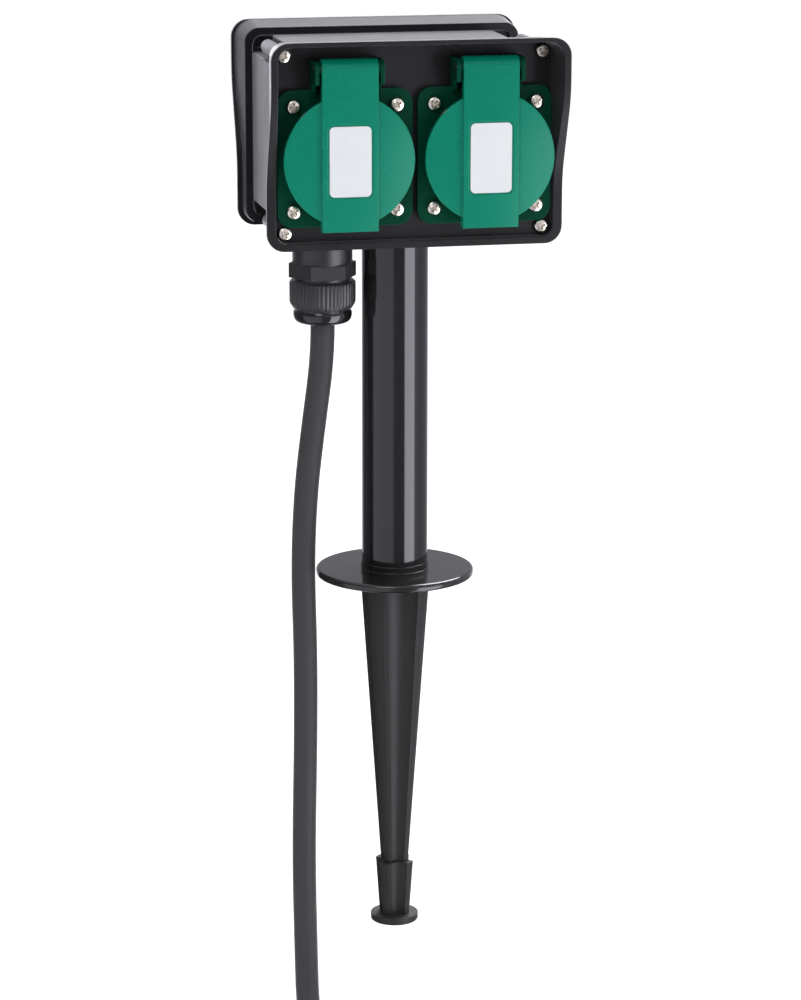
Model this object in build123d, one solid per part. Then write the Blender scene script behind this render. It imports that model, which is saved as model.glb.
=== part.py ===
# Garden socket spike: a two-sided socket and timer box on a tube and a ground spike.
# Millimetres. +Z is up, the sockets face -Y. The origin is on the stem's axis, at the
# underside of the ground disc, which is where the spike stops when it is pushed in.
from build123d import *
from math import atan, cos, degrees, pi, radians, sin, sqrt, tan
import os

os.makedirs("parts", exist_ok=True)

# Clearances
run_gap = 0.3            # between parts that move past each other
pin_gap = 0.05           # radial gap of a pin in its hole
seat_gap = 0.2           # room round a piece that sits in a recess

# Box
box_x = 0.8              # the box's middle, from the stem's axis
box_z = 169.4
chamber_width = 99.6
chamber_height = 68.0
chamber_depth = 26.0     # seam to the back of the panel, each half
chamber_corner = 4.0
chamber_wall = 2.4
relief_width = 7.5       # corner relief, cut from the chamber's corners
relief_height = 6.0
relief_round = 0.7
panel_thickness = 2.5
panel_overhang = 2.7
hood_wall = 1.4
hood_corner = 5.4
hood_flare = 5.0         # degrees
hood_depth = 44.0        # seam to the rim, upper part
hood_depth_low = 32.7    # seam to the rim, lower part
sweep_top = 17.0         # the rim's edge sweeps in between these heights over the middle
sweep_bottom = -12.5
sweep_radius = 35.0
rim_width = 109.8
rim_height = 76.4
rim_corner = 6.5
rim_lip = 1.6
shell_screw_x = 47.8
shell_screw_z = 32.2
post_radius = 2.6
lug_depth = 3.0
stub_depth = 1.5         # full corner left standing against the panel
seal_width = 0.8
seal_depth = 1.0

# Screws
screw_head_radius = 2.75
screw_head_height = 2.0
screw_radius = 1.4
shell_screw_radius = 1.45
screw_chamfer = 0.9

# Sockets
socket_pitch = 51.8
socket_z = 164.6
flange_size = 49.8
flange_corner = 5.5
flange_thickness = 2.2
flange_screw_pitch = 38.0
gasket_thickness = 0.8
recess_radius = 19.5
recess_depth = 17.5
collar_height = 6.0      # above the flange
collar_wall = 1.9
cup_wall = 1.4
floor_thickness = 1.5
lip_reach = 1.2          # of the ledge that holds the insert
lip_thickness = 1.0
insert_gap = 0.05
contact_box_width = 32.0
contact_box_height = 16.0
contact_box_depth = 11.0
pin_spacing = 19.0
pin_hole_radius = 2.7
contact_radius = 3.6
contact_bore = 2.45
clip_width = 5.0
clip_thickness = 0.8
clip_bow = 2.2
clip_free = 2.5          # from the arms' tips to the collar's top

# Socket lids
lid_radius = 23.9
lid_thickness = 2.0
lid_skirt_radius = 22.9
lid_skirt_wall = 1.0
lid_skirt_depth = 3.1      # clears the collar's rim as the lid swings
lid_seal_width = 2.4
strap_width = 20.5
strap_rise = 1.4
strap_tail = 0.5         # past the flange's lower edge
tail_thickness = 4.5
tail_depth = 3.6
hinge_height = 33.2      # hinge axis over the socket's centre
barrel_radius = 3.5
barrel_bore = 2.4
barrel_cheek = 2.0
barrel_window = 3.4
hinge_pin_radius = 1.25
ear_gap = 0.95
ear_thickness = 1.45
ear_radius = 2.8
ear_arm = 5.6            # ear's front edge, from the axis
ear_root = 2.0           # ear's overlap with the flange
label_width = 15.3
label_height = 25.4
label_thickness = 0.22
label_recess = 0.3
spring_wire = 0.5
spring_radius = 1.85
spring_turns = 3

# Stem and spike
stem_radius = 12.5
stem_wall = 2.0
stem_top = 144.8
saddle_half_width = 14.6
saddle_height = 5.6
collar_radius = 12.85
collar_top = 5.5
disc_radius = 30.0
disc_thickness = 3.0
disc_edge = 1.1
spike_top_radius = 13.9
spike_end_radius = 3.9
spike_end_z = -137.0
flute_reach = 1.25       # flute's centre, in spike radii
flute_size = 0.63        # flute's radius, in spike radii
spigot_length = 30.0
cap_top_z = -115.0
cap_bottom_z = -139.5
cap_wall = 1.8
cap_flange_radius = 9.2
cap_flange_thickness = 2.8

# Cable gland
gland_x = -27.6
boss_radius = 11.25
boss_bottom = 121.5
bushing_flange_radius = 12.1
bushing_flange_thickness = 2.5
bushing_flat = 1.6       # cut off the flange's side, against turning
gland_thread_radius = 8.9
gland_hex_corners = 25.6
gland_hex_height = 5.4
gland_neck_radius = 10.3
gland_neck_height = 1.2
nut_radius = 12.1
nut_rib = 0.5
nut_ribs = 24
nut_grip_height = 11.0
nut_mouth_z = 98.8
nut_mouth_radius = 9.3
locknut_height = 3.0
locknut_corners = 22.8

# Cord and plug
cord_radius = 4.65
cord_bore_gap = 0.15
floor_z = -228.0         # what the coil lies on
coil_x = 46.0
coil_y = -58.0
coil_outer = 58.0
coil_inner = 42.4
coil_turns = 1.5         # in each of the two layers
coil_dip = 1.5           # how far the climbing half turn draws in
layer_gap = 0.5
cord_lead = 45.0
plug_radius = 18.8
plug_length = 46.0
plug_pin_radius = 2.4
plug_pin_length = 19.0
plug_root_radius = 2.2
plug_root_length = 8.0
plug_pin_chamfer = 1.2
plug_sleeve = 18.0       # length of the tapered part round the cord
plug_neck_radius = 13.2
plug_waist_radius = 14.6
earth_groove_width = 6.4
earth_groove_depth = 3.0
earth_leaf_width = 5.0
earth_leaf_thickness = 0.9

# Timer
timer_z = 171.4
timer_flange_width = 68.0
timer_flange_height = 58.0
timer_frame_width = 56.0
timer_frame_height = 46.0
timer_frame_wall = 1.8
timer_frame_top = 10.0   # over the panel
timer_flange_thickness = 2.4
timer_box_depth = 18.5
timer_floor = 1.6
timer_screw_x = 31.0
timer_screw_y = 26.0
dial_radius = 19.5
dial_thickness = 3.6
dial_cap_radius = 8.0
dial_cap_height = 2.4
tappet_count = 48
tappet_ring = 17.2
tappet_length = 2.6
tappet_width = 1.3
tappet_height = 4.4
tappet_travel = 1.2
switch_travel = 4.0
switch_width = 5.0
switch_height = 4.0
cover_width = 57.0
cover_thickness = 2.2
cover_hinge_y = 26.4
cover_pin_radius = 1.0
cover_barrel_radius = 2.3
cover_ear_inset = 6.0
cover_ear_width = 3.0
cover_tab_width = 16.0
switch_margin = 1.1

panel_face = chamber_depth + panel_thickness
hood_width = chamber_width + 2 * panel_overhang
hood_height = chamber_height + 2 * panel_overhang


def save(part, name, label=None):
    """Write one piece to its own file."""
    part.label = label or name
    export_step(part, f"parts/{name}.step")


def front(x, z):
    """Frame on the front panel: local z points out of the box, local y up."""
    return Pos(box_x + x, -panel_face, z) * Rot(90, 0, 0)


def rear(x, z):
    """The same on the rear panel."""
    return Pos(box_x - x, panel_face, z) * Rot(0, 0, 180) * Rot(90, 0, 0)


def slab(width, height, corner, low, high):
    """Rounded plate between two heights."""
    return extrude(Pos(0, 0, low) * RectangleRounded(width, height, corner), high - low)


def disk(radius, low, high):
    return Pos(0, 0, (low + high) / 2) * Cylinder(radius, high - low)


def ring(outer, inner, low, high):
    return disk(outer, low, high) - disk(inner, low, high)


# Box halves

def chamber_outline(inset):
    """Outline of the sealed chamber, with its four corners relieved."""
    width = chamber_width - 2 * inset
    height = chamber_height - 2 * inset
    cross = Rectangle(width - 2 * relief_width, height) + Rectangle(width, height - 2 * relief_height)
    return fillet(cross.vertices(), relief_round)


def box_plane(depth):
    """Frame at a distance from the seam, local z out of the rear panel."""
    return Pos(box_x, depth, box_z) * Rot(-90, 0, 0)


def hood_profile(extra):
    """Side view of the space behind the rim's swept edge, as a prism across the box."""
    upper = hood_depth - extra
    lower = hood_depth_low - extra
    edge = FilletPolyline(
        (upper, rim_height), (upper, sweep_top), (lower, sweep_bottom), (lower, -rim_height),
        radius=[sweep_radius, sweep_radius])
    back = Polyline((lower, -rim_height), (0, -rim_height), (0, rim_height), (upper, rim_height))
    side = Plane(origin=(0, 0, box_z), x_dir=(0, 1, 0), z_dir=(1, 0, 0)) * make_face(edge + back)
    return extrude(side, rim_width, both=True)


def hood_solid(inset, start):
    """Flared block inside the hood's wall, deep enough to be cut by the swept edge."""
    outline = RectangleRounded(hood_width - 2 * inset, hood_height - 2 * inset, hood_corner - inset)
    return extrude(box_plane(start) * outline, hood_depth - start, taper=-hood_flare)


def corners():
    return [(sx * shell_screw_x, sz * shell_screw_z) for sx in (-1, 1) for sz in (-1, 1)]


def corner_post(x, z, depth):
    """Screw post with the web that ties it to the relieved corner."""
    post = disk(post_radius, 0, depth)
    web_x = chamber_width / 2 - relief_width - chamber_wall / 2
    web_z = chamber_height / 2 - relief_height - chamber_wall / 2
    side_x = 1 if x > 0 else -1
    side_z = 1 if z > 0 else -1
    low = (side_x * web_x, side_z * web_z)
    web = Pos((low[0] + x) / 2, (low[1] + z) / 2, depth / 2) * Box(
        abs(x - low[0]), abs(z - low[1]), depth)
    return Pos(x, z, 0) * post + web


def bare_shell():
    """One box half with its panel and swept hood, for the rear side."""
    wall = extrude(chamber_outline(0) - chamber_outline(chamber_wall), chamber_depth)
    stub = slab(chamber_width, chamber_height, chamber_corner, chamber_depth - stub_depth, chamber_depth)
    stub -= extrude(chamber_outline(chamber_wall), chamber_depth)
    plate = slab(hood_width, hood_height, hood_corner, chamber_depth, panel_face)
    for x, z in corners():
        inward = Pos(x - (1.4 if x > 0 else -1.4), z - (0.8 if z > 0 else -0.8), 0)
        pocket = slab(4.6, 3.8, 1.2, chamber_depth - stub_depth, chamber_depth + panel_thickness / 2)
        stub -= inward * pocket
        plate -= inward * pocket
    body = box_plane(0) * (wall + stub + plate)
    reach = hood_profile(0)
    hood = (hood_solid(0, chamber_depth) & reach) + (rim_band() & reach)
    hood -= hood_solid(hood_wall, panel_face)
    return body + hood


def rim_band():
    """Lip that follows the swept edge."""
    block = slab(rim_width, rim_height, rim_corner, panel_face - rim_lip, hood_depth)
    return box_plane(0) * block - hood_profile(rim_lip)


def stem_saddle():
    """Half of the clamp that holds the stem, on the chamber's floor."""
    floor = -chamber_height / 2 + chamber_wall
    depth = chamber_depth - 8.5
    return Pos(0, depth / 2, box_z + floor + saddle_height / 2) * Box(
        2 * saddle_half_width, depth, saddle_height)


def floor_holes():
    """Holes through the chamber's floor for the stem and the gland."""
    low = box_z - chamber_height / 2 - 1
    high = low + 1 + chamber_wall + saddle_height + 1
    stem = disk(stem_radius + pin_gap, low, high)
    gland = Pos(gland_x, 0, 0) * disk(boss_radius + pin_gap, low, high)
    return stem + gland


def rear_shell():
    shell = bare_shell() + stem_saddle()
    for x, z in corners():
        lug = corner_post(x, z, lug_depth)
        lug -= Pos(x, z, 0) * disk(shell_screw_radius + pin_gap, -1, lug_depth + 1)
        shell += box_plane(0) * (Rot(180, 0, 0) * Pos(0, 0, -lug_depth) * lug)
    groove = chamber_outline(chamber_wall / 2 - seal_width / 2 - pin_gap)
    groove -= chamber_outline(chamber_wall / 2 + seal_width / 2 + pin_gap)
    shell -= box_plane(0) * extrude(groove, seal_depth)
    shell -= floor_holes()
    shell -= rear(0, timer_z) * slab(
        timer_frame_width + 2 * seat_gap, timer_frame_height + 2 * seat_gap, 2, -panel_thickness - 1, 1)
    for x, y in timer_screw_places():
        shell -= rear(x, timer_z + y) * disk(screw_radius + pin_gap, -panel_thickness - 1, 1)
    return shell


def front_shell():
    shell = bare_shell() + stem_saddle()
    for x, z in corners():
        shell += box_plane(0) * corner_post(x, z, panel_face)
    for x, z in corners():
        shell -= box_plane(0) * Pos(x, z, 0) * disk(shell_screw_radius + pin_gap, -1, hood_depth)
    shell = mirror(shell, about=Plane.XZ)
    shell -= floor_holes()
    for x in socket_centres():
        shell -= front(x, socket_z) * disk(recess_radius + cup_wall + seat_gap, -panel_thickness - 1, 1)
        for px, py in flange_screw_places():
            shell -= front(x + px, socket_z + py) * disk(screw_radius + pin_gap, -panel_thickness - 1, 1)
    return shell


def shell_gasket():
    band = chamber_outline(chamber_wall / 2 - seal_width / 2)
    band -= chamber_outline(chamber_wall / 2 + seal_width / 2)
    gasket = box_plane(0) * extrude(band, seal_depth - pin_gap)
    bridge = Pos(gland_x / 2, 0, box_z - chamber_height / 2) * Box(-gland_x, 10, 2 * chamber_wall)
    return gasket - floor_holes() - bridge


def pan_screw(radius, length):
    """Screw with a plain domed head; local z points out of the head."""
    head = disk(screw_head_radius, 0, screw_head_height)
    head = chamfer(head.edges().sort_by(Axis.Z)[-1], screw_chamfer)
    return head + disk(radius, -length, 0)


def shell_screws():
    screw = pan_screw(shell_screw_radius, panel_face + lug_depth - 0.4)
    return [front(x, box_z + z) * screw for x, z in corners()]


# Sockets

def socket_centres():
    return (-socket_pitch / 2, socket_pitch / 2)


def flange_screw_places():
    half = flange_screw_pitch / 2
    return [(sx * half, sy * half) for sx in (-1, 1) for sy in (-1, 1)]


flange_top = gasket_thickness + flange_thickness
collar_top_z = flange_top + collar_height
recess_floor = collar_top_z - recess_depth
insert_back = recess_floor - floor_thickness
cup_back = insert_back - lip_thickness
lid_under = collar_top_z + run_gap + 0.8
lid_face = lid_under + lid_thickness
strap_face = lid_face + strap_rise
hinge_z = strap_face - barrel_radius
ear_inner = strap_width / 2 + ear_gap


def hinge_ear():
    """Ear plate beside the lid's barrel, with the two pads that reach in to it."""
    plate_side = Plane(origin=(ear_inner, 0, 0), x_dir=(0, 1, 0), z_dir=(1, 0, 0))
    foot = flange_size / 2 - ear_root
    arm = hinge_height - ear_arm
    outline = make_face(Polyline(
        (foot, gasket_thickness), (foot, flange_top + 1.6), (arm, hinge_z - ear_radius + 0.6),
        (arm, hinge_z + ear_radius), (hinge_height, hinge_z + ear_radius),
        (hinge_height + ear_radius, hinge_z), (hinge_height + ear_radius, gasket_thickness), close=True))
    cheek = Pos(hinge_height, hinge_z) * Circle(ear_radius)
    plate = extrude(plate_side * (outline + cheek), ear_thickness)
    pad = ear_gap - run_gap
    boss_side = Plane(origin=(ear_inner - pad, 0, 0), x_dir=(0, 1, 0), z_dir=(1, 0, 0))
    boss = extrude(boss_side * (Pos(hinge_height, hinge_z) * Circle(barrel_bore)), pad)
    foot_pad = extrude(boss_side * (Pos(foot + 1.2, flange_top + 0.8) * Rectangle(2.4, 1.6)), pad)
    return plate + boss + foot_pad


def socket_body():
    """Flange with its collar, cup wall, hinge ears and the ledge that holds the insert."""
    body = slab(flange_size, flange_size, flange_corner, gasket_thickness, flange_top)
    body += disk(recess_radius + collar_wall, gasket_thickness, collar_top_z)
    body += disk(recess_radius + cup_wall, cup_back, gasket_thickness)
    ear = hinge_ear()
    body += ear
    body += mirror(ear, about=Plane.YZ)
    body -= disk(recess_radius, insert_back, collar_top_z + 1)
    body -= disk(recess_radius - lip_reach, cup_back - 1, insert_back + 1)
    for x, y in flange_screw_places():
        body -= Pos(x, y, 0) * disk(screw_radius + pin_gap, 0, flange_top + 1)
    bore = Pos(0, hinge_height, hinge_z) * Rot(0, 90, 0)
    body -= bore * Cylinder(hinge_pin_radius + pin_gap, 2 * (ear_inner + ear_thickness) + 2)
    return body


def socket_insert():
    """Floor of the recess and the contact box behind it."""
    body = disk(recess_radius - insert_gap, insert_back, recess_floor)
    body += slab(contact_box_width, contact_box_height, 2, cup_back - contact_box_depth, insert_back)
    for x in (-pin_spacing / 2, pin_spacing / 2):
        body -= Pos(x, 0, 0) * disk(pin_hole_radius, cup_back - contact_box_depth - 1, recess_floor + 1)
        body -= Pos(x, 0, 0) * disk(
            contact_radius + pin_gap, cup_back - contact_box_depth - 1, cup_back - 0.5)
    return body


def socket_gasket():
    sheet = slab(flange_size, flange_size, flange_corner, 0, gasket_thickness)
    sheet -= disk(recess_radius + cup_wall + seat_gap, -1, 1 + gasket_thickness)
    for x, y in flange_screw_places():
        sheet -= Pos(x, y, 0) * disk(screw_radius + pin_gap, -1, 1 + gasket_thickness)
    return sheet


def contact_sleeves():
    """Split sleeves that grip the plug's pins, in the contact box."""
    low = cup_back - contact_box_depth + 0.5
    sleeve = ring(contact_radius, contact_bore, low, cup_back - 0.6)
    sleeve -= Pos(contact_radius, 0, (low + cup_back) / 2 + 3) * Box(2 * contact_radius, 0.6, 6)
    return [Pos(x, 0, 0) * sleeve for x in (-pin_spacing / 2, pin_spacing / 2)]


def earth_clip():
    """U-shaped strip across the recess floor, its two arms bowed inwards."""
    outer = recess_radius - 0.4
    height = recess_depth - clip_free
    arm = [(outer, recess_floor), (outer, recess_floor + 0.4 * height),
           (outer - clip_bow, recess_floor + 0.73 * height), (outer - 0.4, recess_floor + height)]
    inner = [(y - clip_thickness, z) for y, z in arm[1:]]
    inner.insert(0, (outer - clip_thickness, recess_floor + clip_thickness))
    half = [(0, recess_floor)] + arm + inner[::-1] + [(0, recess_floor + clip_thickness)]
    side = Plane(origin=(-clip_width / 2, 0, 0), x_dir=(0, 1, 0), z_dir=(1, 0, 0))
    leaf = extrude(side * make_face(Polyline(half, close=True)), clip_width)
    return leaf + mirror(leaf, about=Plane.XZ)


# Socket lids

def lid():
    shape = disk(lid_radius, lid_under, lid_face)
    shape += ring(
        lid_skirt_radius, lid_skirt_radius - lid_skirt_wall, lid_under - lid_skirt_depth, lid_under)
    tail = flange_size / 2 + strap_tail
    strap_length = tail + hinge_height
    strap = Pos(0, (hinge_height - tail) / 2, (lid_face - 1 + strap_face) / 2) * Box(
        strap_width, strap_length, strap_face - lid_face + 1)
    tab = Pos(0, -tail + tail_depth / 2, strap_face - tail_thickness / 2) * Box(
        strap_width, tail_depth, tail_thickness)
    neck = Pos(0, (lid_radius - 6 + hinge_height) / 2, (lid_under + strap_face) / 2) * Box(
        strap_width, hinge_height - lid_radius + 6, strap_face - lid_under)
    axle = Pos(0, hinge_height, hinge_z) * Rot(0, 90, 0)
    shape += strap + tab + neck + axle * Cylinder(barrel_radius, strap_width)
    shape -= axle * Cylinder(barrel_bore, strap_width - 2 * barrel_cheek)
    shape -= axle * Cylinder(hinge_pin_radius + pin_gap, strap_width + 2)
    window = Pos(0, hinge_height, hinge_z - barrel_radius) * Box(
        strap_width / 2, barrel_window, 2 * (barrel_radius - hinge_pin_radius) - 0.6)
    shape -= window
    shape -= slab(
        label_width + 1.2, label_height + 1.2, 2, strap_face - label_recess, strap_face + 1)
    return shape


def lid_seal():
    middle = recess_radius + collar_wall / 2
    return ring(middle + lid_seal_width / 2, middle - lid_seal_width / 2, lid_under - 0.8, lid_under)


def hinge_pin():
    length = 2 * (ear_inner + ear_thickness)
    return Pos(0, hinge_height, hinge_z) * Rot(0, 90, 0) * Cylinder(hinge_pin_radius, length)


def label():
    low = strap_face - label_recess
    return slab(label_width, label_height, 1.8, low, low + label_thickness)


# Wound forms

def biarc(p0, t0, p1, t1):
    """Two arcs that leave p0 along t0 and reach p1 along t1 with no kink."""
    chord = p1 - p0
    total = t0 + t1
    flat = 2 * (1 - t0.dot(t1))
    if flat < 1e-9:
        reach = chord.dot(chord) / (2 * chord.dot(total))
    else:
        along = chord.dot(total)
        reach = (sqrt(along ** 2 + flat * chord.dot(chord)) - along) / flat
    q0 = p0 + t0 * reach
    q1 = p1 - t1 * reach
    middle = (q0 + q1) * 0.5
    return [Edge.make_tangent_arc(p0, t0, middle), Edge.make_tangent_arc(middle, q1 - q0, p1)]


def wound_path(stations):
    """Edges through a list of places and directions."""
    edges = []
    for (p0, t0), (p1, t1) in zip(stations, stations[1:]):
        edges += biarc(p0, t0, p1, t1)
    return edges


def tube_along(edges, radius):
    path = Wire(edges)
    start = Plane(origin=path @ 0, z_dir=path % 0)
    return sweep(start * Circle(radius), path=path)


def least_gap(edges, radius, turn_length):
    """Smallest distance between the tube's skin and itself, away from its neighbours."""
    path = Wire(edges)
    steps = 260
    points = [path.position_at(i / steps) for i in range(steps + 1)]
    near = int(turn_length / 2 / path.length * steps)
    return min((points[i] - points[j]).length for i in range(steps + 1)
               for j in range(i + near, steps + 1)) - 2 * radius


def lid_spring():
    """Torsion spring round the hinge pin."""
    pitch = spring_wire + 0.55
    start = -spring_turns * pitch / 2
    stations = []
    for k in range(4 * spring_turns + 1):
        angle = k * pi / 2
        place = Vector(start + pitch * k / 4, spring_radius * cos(angle), spring_radius * sin(angle))
        heading = Vector(pitch / (2 * pi), -spring_radius * sin(angle), spring_radius * cos(angle))
        stations.append((place, heading.normalized()))
    edges = wound_path(stations)
    print("lid spring: least gap", round(least_gap(edges, spring_wire / 2, 2 * pi * spring_radius), 2))
    return Pos(0, hinge_height, hinge_z) * tube_along(edges, spring_wire / 2)


# Stem and spike

def fluted(z_high, z_low, grow):
    """Cone with four hollow flutes, its radius larger than the spike's by grow.

    The flutes are cones too and share the spike's point, so the ribs taper with it.
    """
    slope = (spike_top_radius - spike_end_radius) / -spike_end_z
    point = -(spike_top_radius + grow) / slope
    high = z_high - point
    low = z_low - point
    body = Pos(0, 0, (z_high + z_low) / 2) * Cone(slope * low, slope * high, high - low)
    tilt = atan(flute_reach * slope)
    spread = flute_size * slope * cos(tilt)
    near = 0.9 * low
    far = 1.1 * high
    flute = Pos(0, 0, (near + far) / 2) * Cone(spread * near, spread * far, far - near)
    for k in range(4):
        body -= Pos(0, 0, point) * Rot(0, 0, 90 * k) * Rot(0, degrees(tilt), 0) * flute
    return body


def ground_spike():
    disc = disk(disc_radius, 0, disc_thickness)
    disc = fillet(disc.edges().filter_by(GeomType.CIRCLE), disc_edge)
    body = disc + disk(collar_radius, disc_thickness - 0.5, collar_top)
    body += disk(stem_radius - stem_wall - 0.15, collar_top - 0.5, collar_top + spigot_length)
    return body + fluted(0.5, spike_end_z, 0)


def tip_cap():
    flange_z = cap_bottom_z + cap_flange_thickness
    cap = fluted(cap_top_z, flange_z, cap_wall + run_gap)
    cap += disk(cap_flange_radius, cap_bottom_z, flange_z)
    cap = fillet(cap.edges().filter_by(GeomType.CIRCLE).group_by(Axis.Z)[0], 0.8)
    return cap - fluted(cap_top_z + 1, spike_end_z - run_gap, run_gap)


def stem_tube():
    return ring(stem_radius, stem_radius - stem_wall, collar_top, stem_top)


# Cable gland

def hexagon(corners_across, low, high):
    return extrude(Pos(0, 0, low) * RegularPolygon(corners_across / 2, 6), high - low)


chamber_floor = box_z - chamber_height / 2 + chamber_wall
bushing_top = chamber_floor + bushing_flange_thickness
hex_bottom = boss_bottom - gland_hex_height
grip_top = hex_bottom - gland_neck_height
grip_bottom = grip_top - nut_grip_height
cord_bore = cord_radius + cord_bore_gap


def gland_bushing():
    body = disk(boss_radius, boss_bottom, chamber_floor)
    flange = disk(bushing_flange_radius, chamber_floor, bushing_top)
    width = 2 * bushing_flange_radius
    flange -= Pos(bushing_flat - width, 0, bushing_top) * Box(width, width, 3 * bushing_flange_thickness)
    body += flange
    return body - disk(gland_thread_radius + pin_gap, boss_bottom - 1, bushing_top + 1)


def gland_body():
    top = bushing_top + locknut_height + 0.8
    body = disk(gland_thread_radius, boss_bottom, top)
    body += hexagon(gland_hex_corners, hex_bottom, boss_bottom)
    body += disk(gland_neck_radius, grip_top - 5, hex_bottom)
    body -= disk(cord_bore, grip_top - 6, top + 1)
    return body - disk(7.6, grip_top - 6, grip_top)


def gland_locknut():
    nut = hexagon(locknut_corners, bushing_top, bushing_top + locknut_height)
    return nut - disk(gland_thread_radius + pin_gap, bushing_top - 1, bushing_top + locknut_height + 1)


def gland_seal():
    return ring(7.4, cord_radius + pin_gap, grip_bottom + 0.6, grip_top - 0.3)


def gland_nut():
    """Ribbed dome nut; its dome closes on the cord at the mouth."""
    dome_top = grip_bottom
    profile = make_face(
        Line((0, grip_top), (nut_radius, grip_top))
        + Line((nut_radius, grip_top), (nut_radius, dome_top + 0.8))
        + Line((nut_radius, dome_top + 0.8), (nut_radius - 1.2, dome_top))
        + ThreePointArc((nut_radius - 1.2, dome_top), (nut_radius - 1.7, dome_top - 3.6),
                        (nut_mouth_radius - 0.6, nut_mouth_z))
        + Line((nut_mouth_radius - 0.6, nut_mouth_z), (0, nut_mouth_z))
        + Line((0, nut_mouth_z), (0, grip_top)))
    nut = revolve(Plane.XZ * profile, Axis.Z)
    rib = Pos(nut_radius, 0, (grip_top + dome_top) / 2 + 0.6) * Box(
        2 * nut_rib, 1.8 * nut_rib, nut_grip_height - 1.2)
    for k in range(nut_ribs):
        nut += Rot(0, 0, 360 / nut_ribs * k) * rib
    nut -= disk(cord_bore, nut_mouth_z - 1, grip_top + 1)
    return nut - disk(gland_neck_radius + pin_gap, grip_bottom, grip_top + 1)


# Inside the box

block_gap = 2.2          # to the chamber's wall and to the timer
block_z = 166.0
block_width = chamber_width / 2 - chamber_wall - timer_frame_width / 2 - 2 * block_gap
block_x = box_x - timer_frame_width / 2 - block_gap - block_width / 2
block_height = 22.0
block_depth = 12.0
wire_radius = 1.0
wire_spacing = 0.3 * block_width


def terminal_block():
    block = Pos(block_x, chamber_depth - block_depth / 2, block_z) * Box(
        block_width, block_depth, block_height)
    for k in (-1, 0, 1):
        x = block_x + k * wire_spacing
        for z in (-block_height / 4, block_height / 4):
            block -= Pos(x, chamber_depth - block_depth, block_z + z) * Rot(90, 0, 0) * Cylinder(1.6, 6)
    return block


def terminal_screws():
    screws = []
    for k in (-1, 0, 1):
        x = block_x + k * wire_spacing
        for z in (-block_height / 4, block_height / 4):
            y = chamber_depth - block_depth + 1.9
            screws.append(Pos(x, y, block_z + z) * Rot(90, 0, 0) * Cylinder(1.5, 2.2))
    return screws


inner_end_top = bushing_top + locknut_height + 6


def cord_inner_end():
    return Pos(gland_x, 0, 0) * disk(cord_radius, nut_mouth_z, inner_end_top)


def supply_wires():
    """Three cores from the lead's inner end to the terminal block's underside."""
    wires = []
    y_block = chamber_depth - block_depth / 2
    for k, angle in ((-1, 150), (0, 30), (1, 270)):
        x0 = gland_x + 2.2 * cos(radians(angle))
        y0 = 2.2 * sin(radians(angle))
        x1 = block_x + k * wire_spacing
        low = block_z - block_height / 2
        path = FilletPolyline(
            (x0, y0, inner_end_top), (x0, y0, inner_end_top + 3), (x1, y_block, low - 3.5), (x1, y_block, low),
            radius=1.2)
        start = Plane(origin=path @ 0, z_dir=path % 0)
        wires.append(sweep(start * Circle(wire_radius), path=path))
    return wires


# Timer

def timer_screw_places():
    return [(sx * timer_screw_x, sy * timer_screw_y) for sx in (-1, 1) for sy in (-1, 1)]


timer_flange_top = gasket_thickness + timer_flange_thickness
dial_low = timer_floor + run_gap
dial_face = dial_low + dial_thickness
cover_low = timer_frame_top + run_gap
cover_face = cover_low + cover_thickness
cover_axis_z = cover_low + cover_thickness / 2
switch_x = timer_frame_width / 2 - timer_frame_wall - switch_width / 2 - switch_margin
switch_y = -14.0


def timer_body():
    body = slab(timer_flange_width, timer_flange_height, 5, gasket_thickness, timer_flange_top)
    body += slab(timer_frame_width, timer_frame_height, 4, -timer_box_depth, timer_frame_top)
    inner_w = timer_frame_width - 2 * timer_frame_wall
    inner_h = timer_frame_height - 2 * timer_frame_wall
    body -= slab(inner_w, inner_h, 2.2, timer_floor, timer_frame_top + 1)
    body += disk(2.0, timer_floor - 0.5, dial_face - 1.0)
    marker = extrude(Pos(0, 0, timer_floor - 0.5) * make_face(Polyline(
        [(dial_radius + 0.6, 0), (inner_w / 2 - 1, 1.8), (inner_w / 2 - 1, -1.8)], close=True)), 2.2)
    body += marker
    body -= Pos(switch_x, switch_y, timer_floor) * Box(2.6, switch_travel + 5.0, 2.4)
    for x, y in timer_screw_places():
        body -= Pos(x, y, 0) * disk(screw_radius + pin_gap, 0, timer_flange_top + 1)
    ear = Pos(0, cover_hinge_y, cover_axis_z) * Rot(0, 90, 0) * Cylinder(
        cover_barrel_radius, cover_ear_width)
    ear += Pos(0, (cover_hinge_y + timer_frame_height / 2 - 1) / 2, (timer_flange_top + cover_axis_z) / 2) * Box(
        cover_ear_width, cover_hinge_y - timer_frame_height / 2 + 1, cover_axis_z - timer_flange_top)
    ear += Pos(0, cover_hinge_y, (timer_flange_top + cover_axis_z) / 2) * Box(
        cover_ear_width, 2 * cover_barrel_radius, cover_axis_z - timer_flange_top)
    for x in (-cover_width / 2 + cover_ear_inset, cover_width / 2 - cover_ear_inset):
        body += Pos(x, 0, 0) * ear
    bore = Pos(0, cover_hinge_y, cover_axis_z) * Rot(0, 90, 0)
    return body - bore * Cylinder(cover_pin_radius + pin_gap, cover_width)


def timer_gasket():
    sheet = slab(timer_flange_width, timer_flange_height, 5, 0, gasket_thickness)
    sheet -= slab(timer_frame_width + 2 * seat_gap, timer_frame_height + 2 * seat_gap, 2, -1, 2)
    for x, y in timer_screw_places():
        sheet -= Pos(x, y, 0) * disk(screw_radius + pin_gap, -1, 2)
    return sheet


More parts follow.
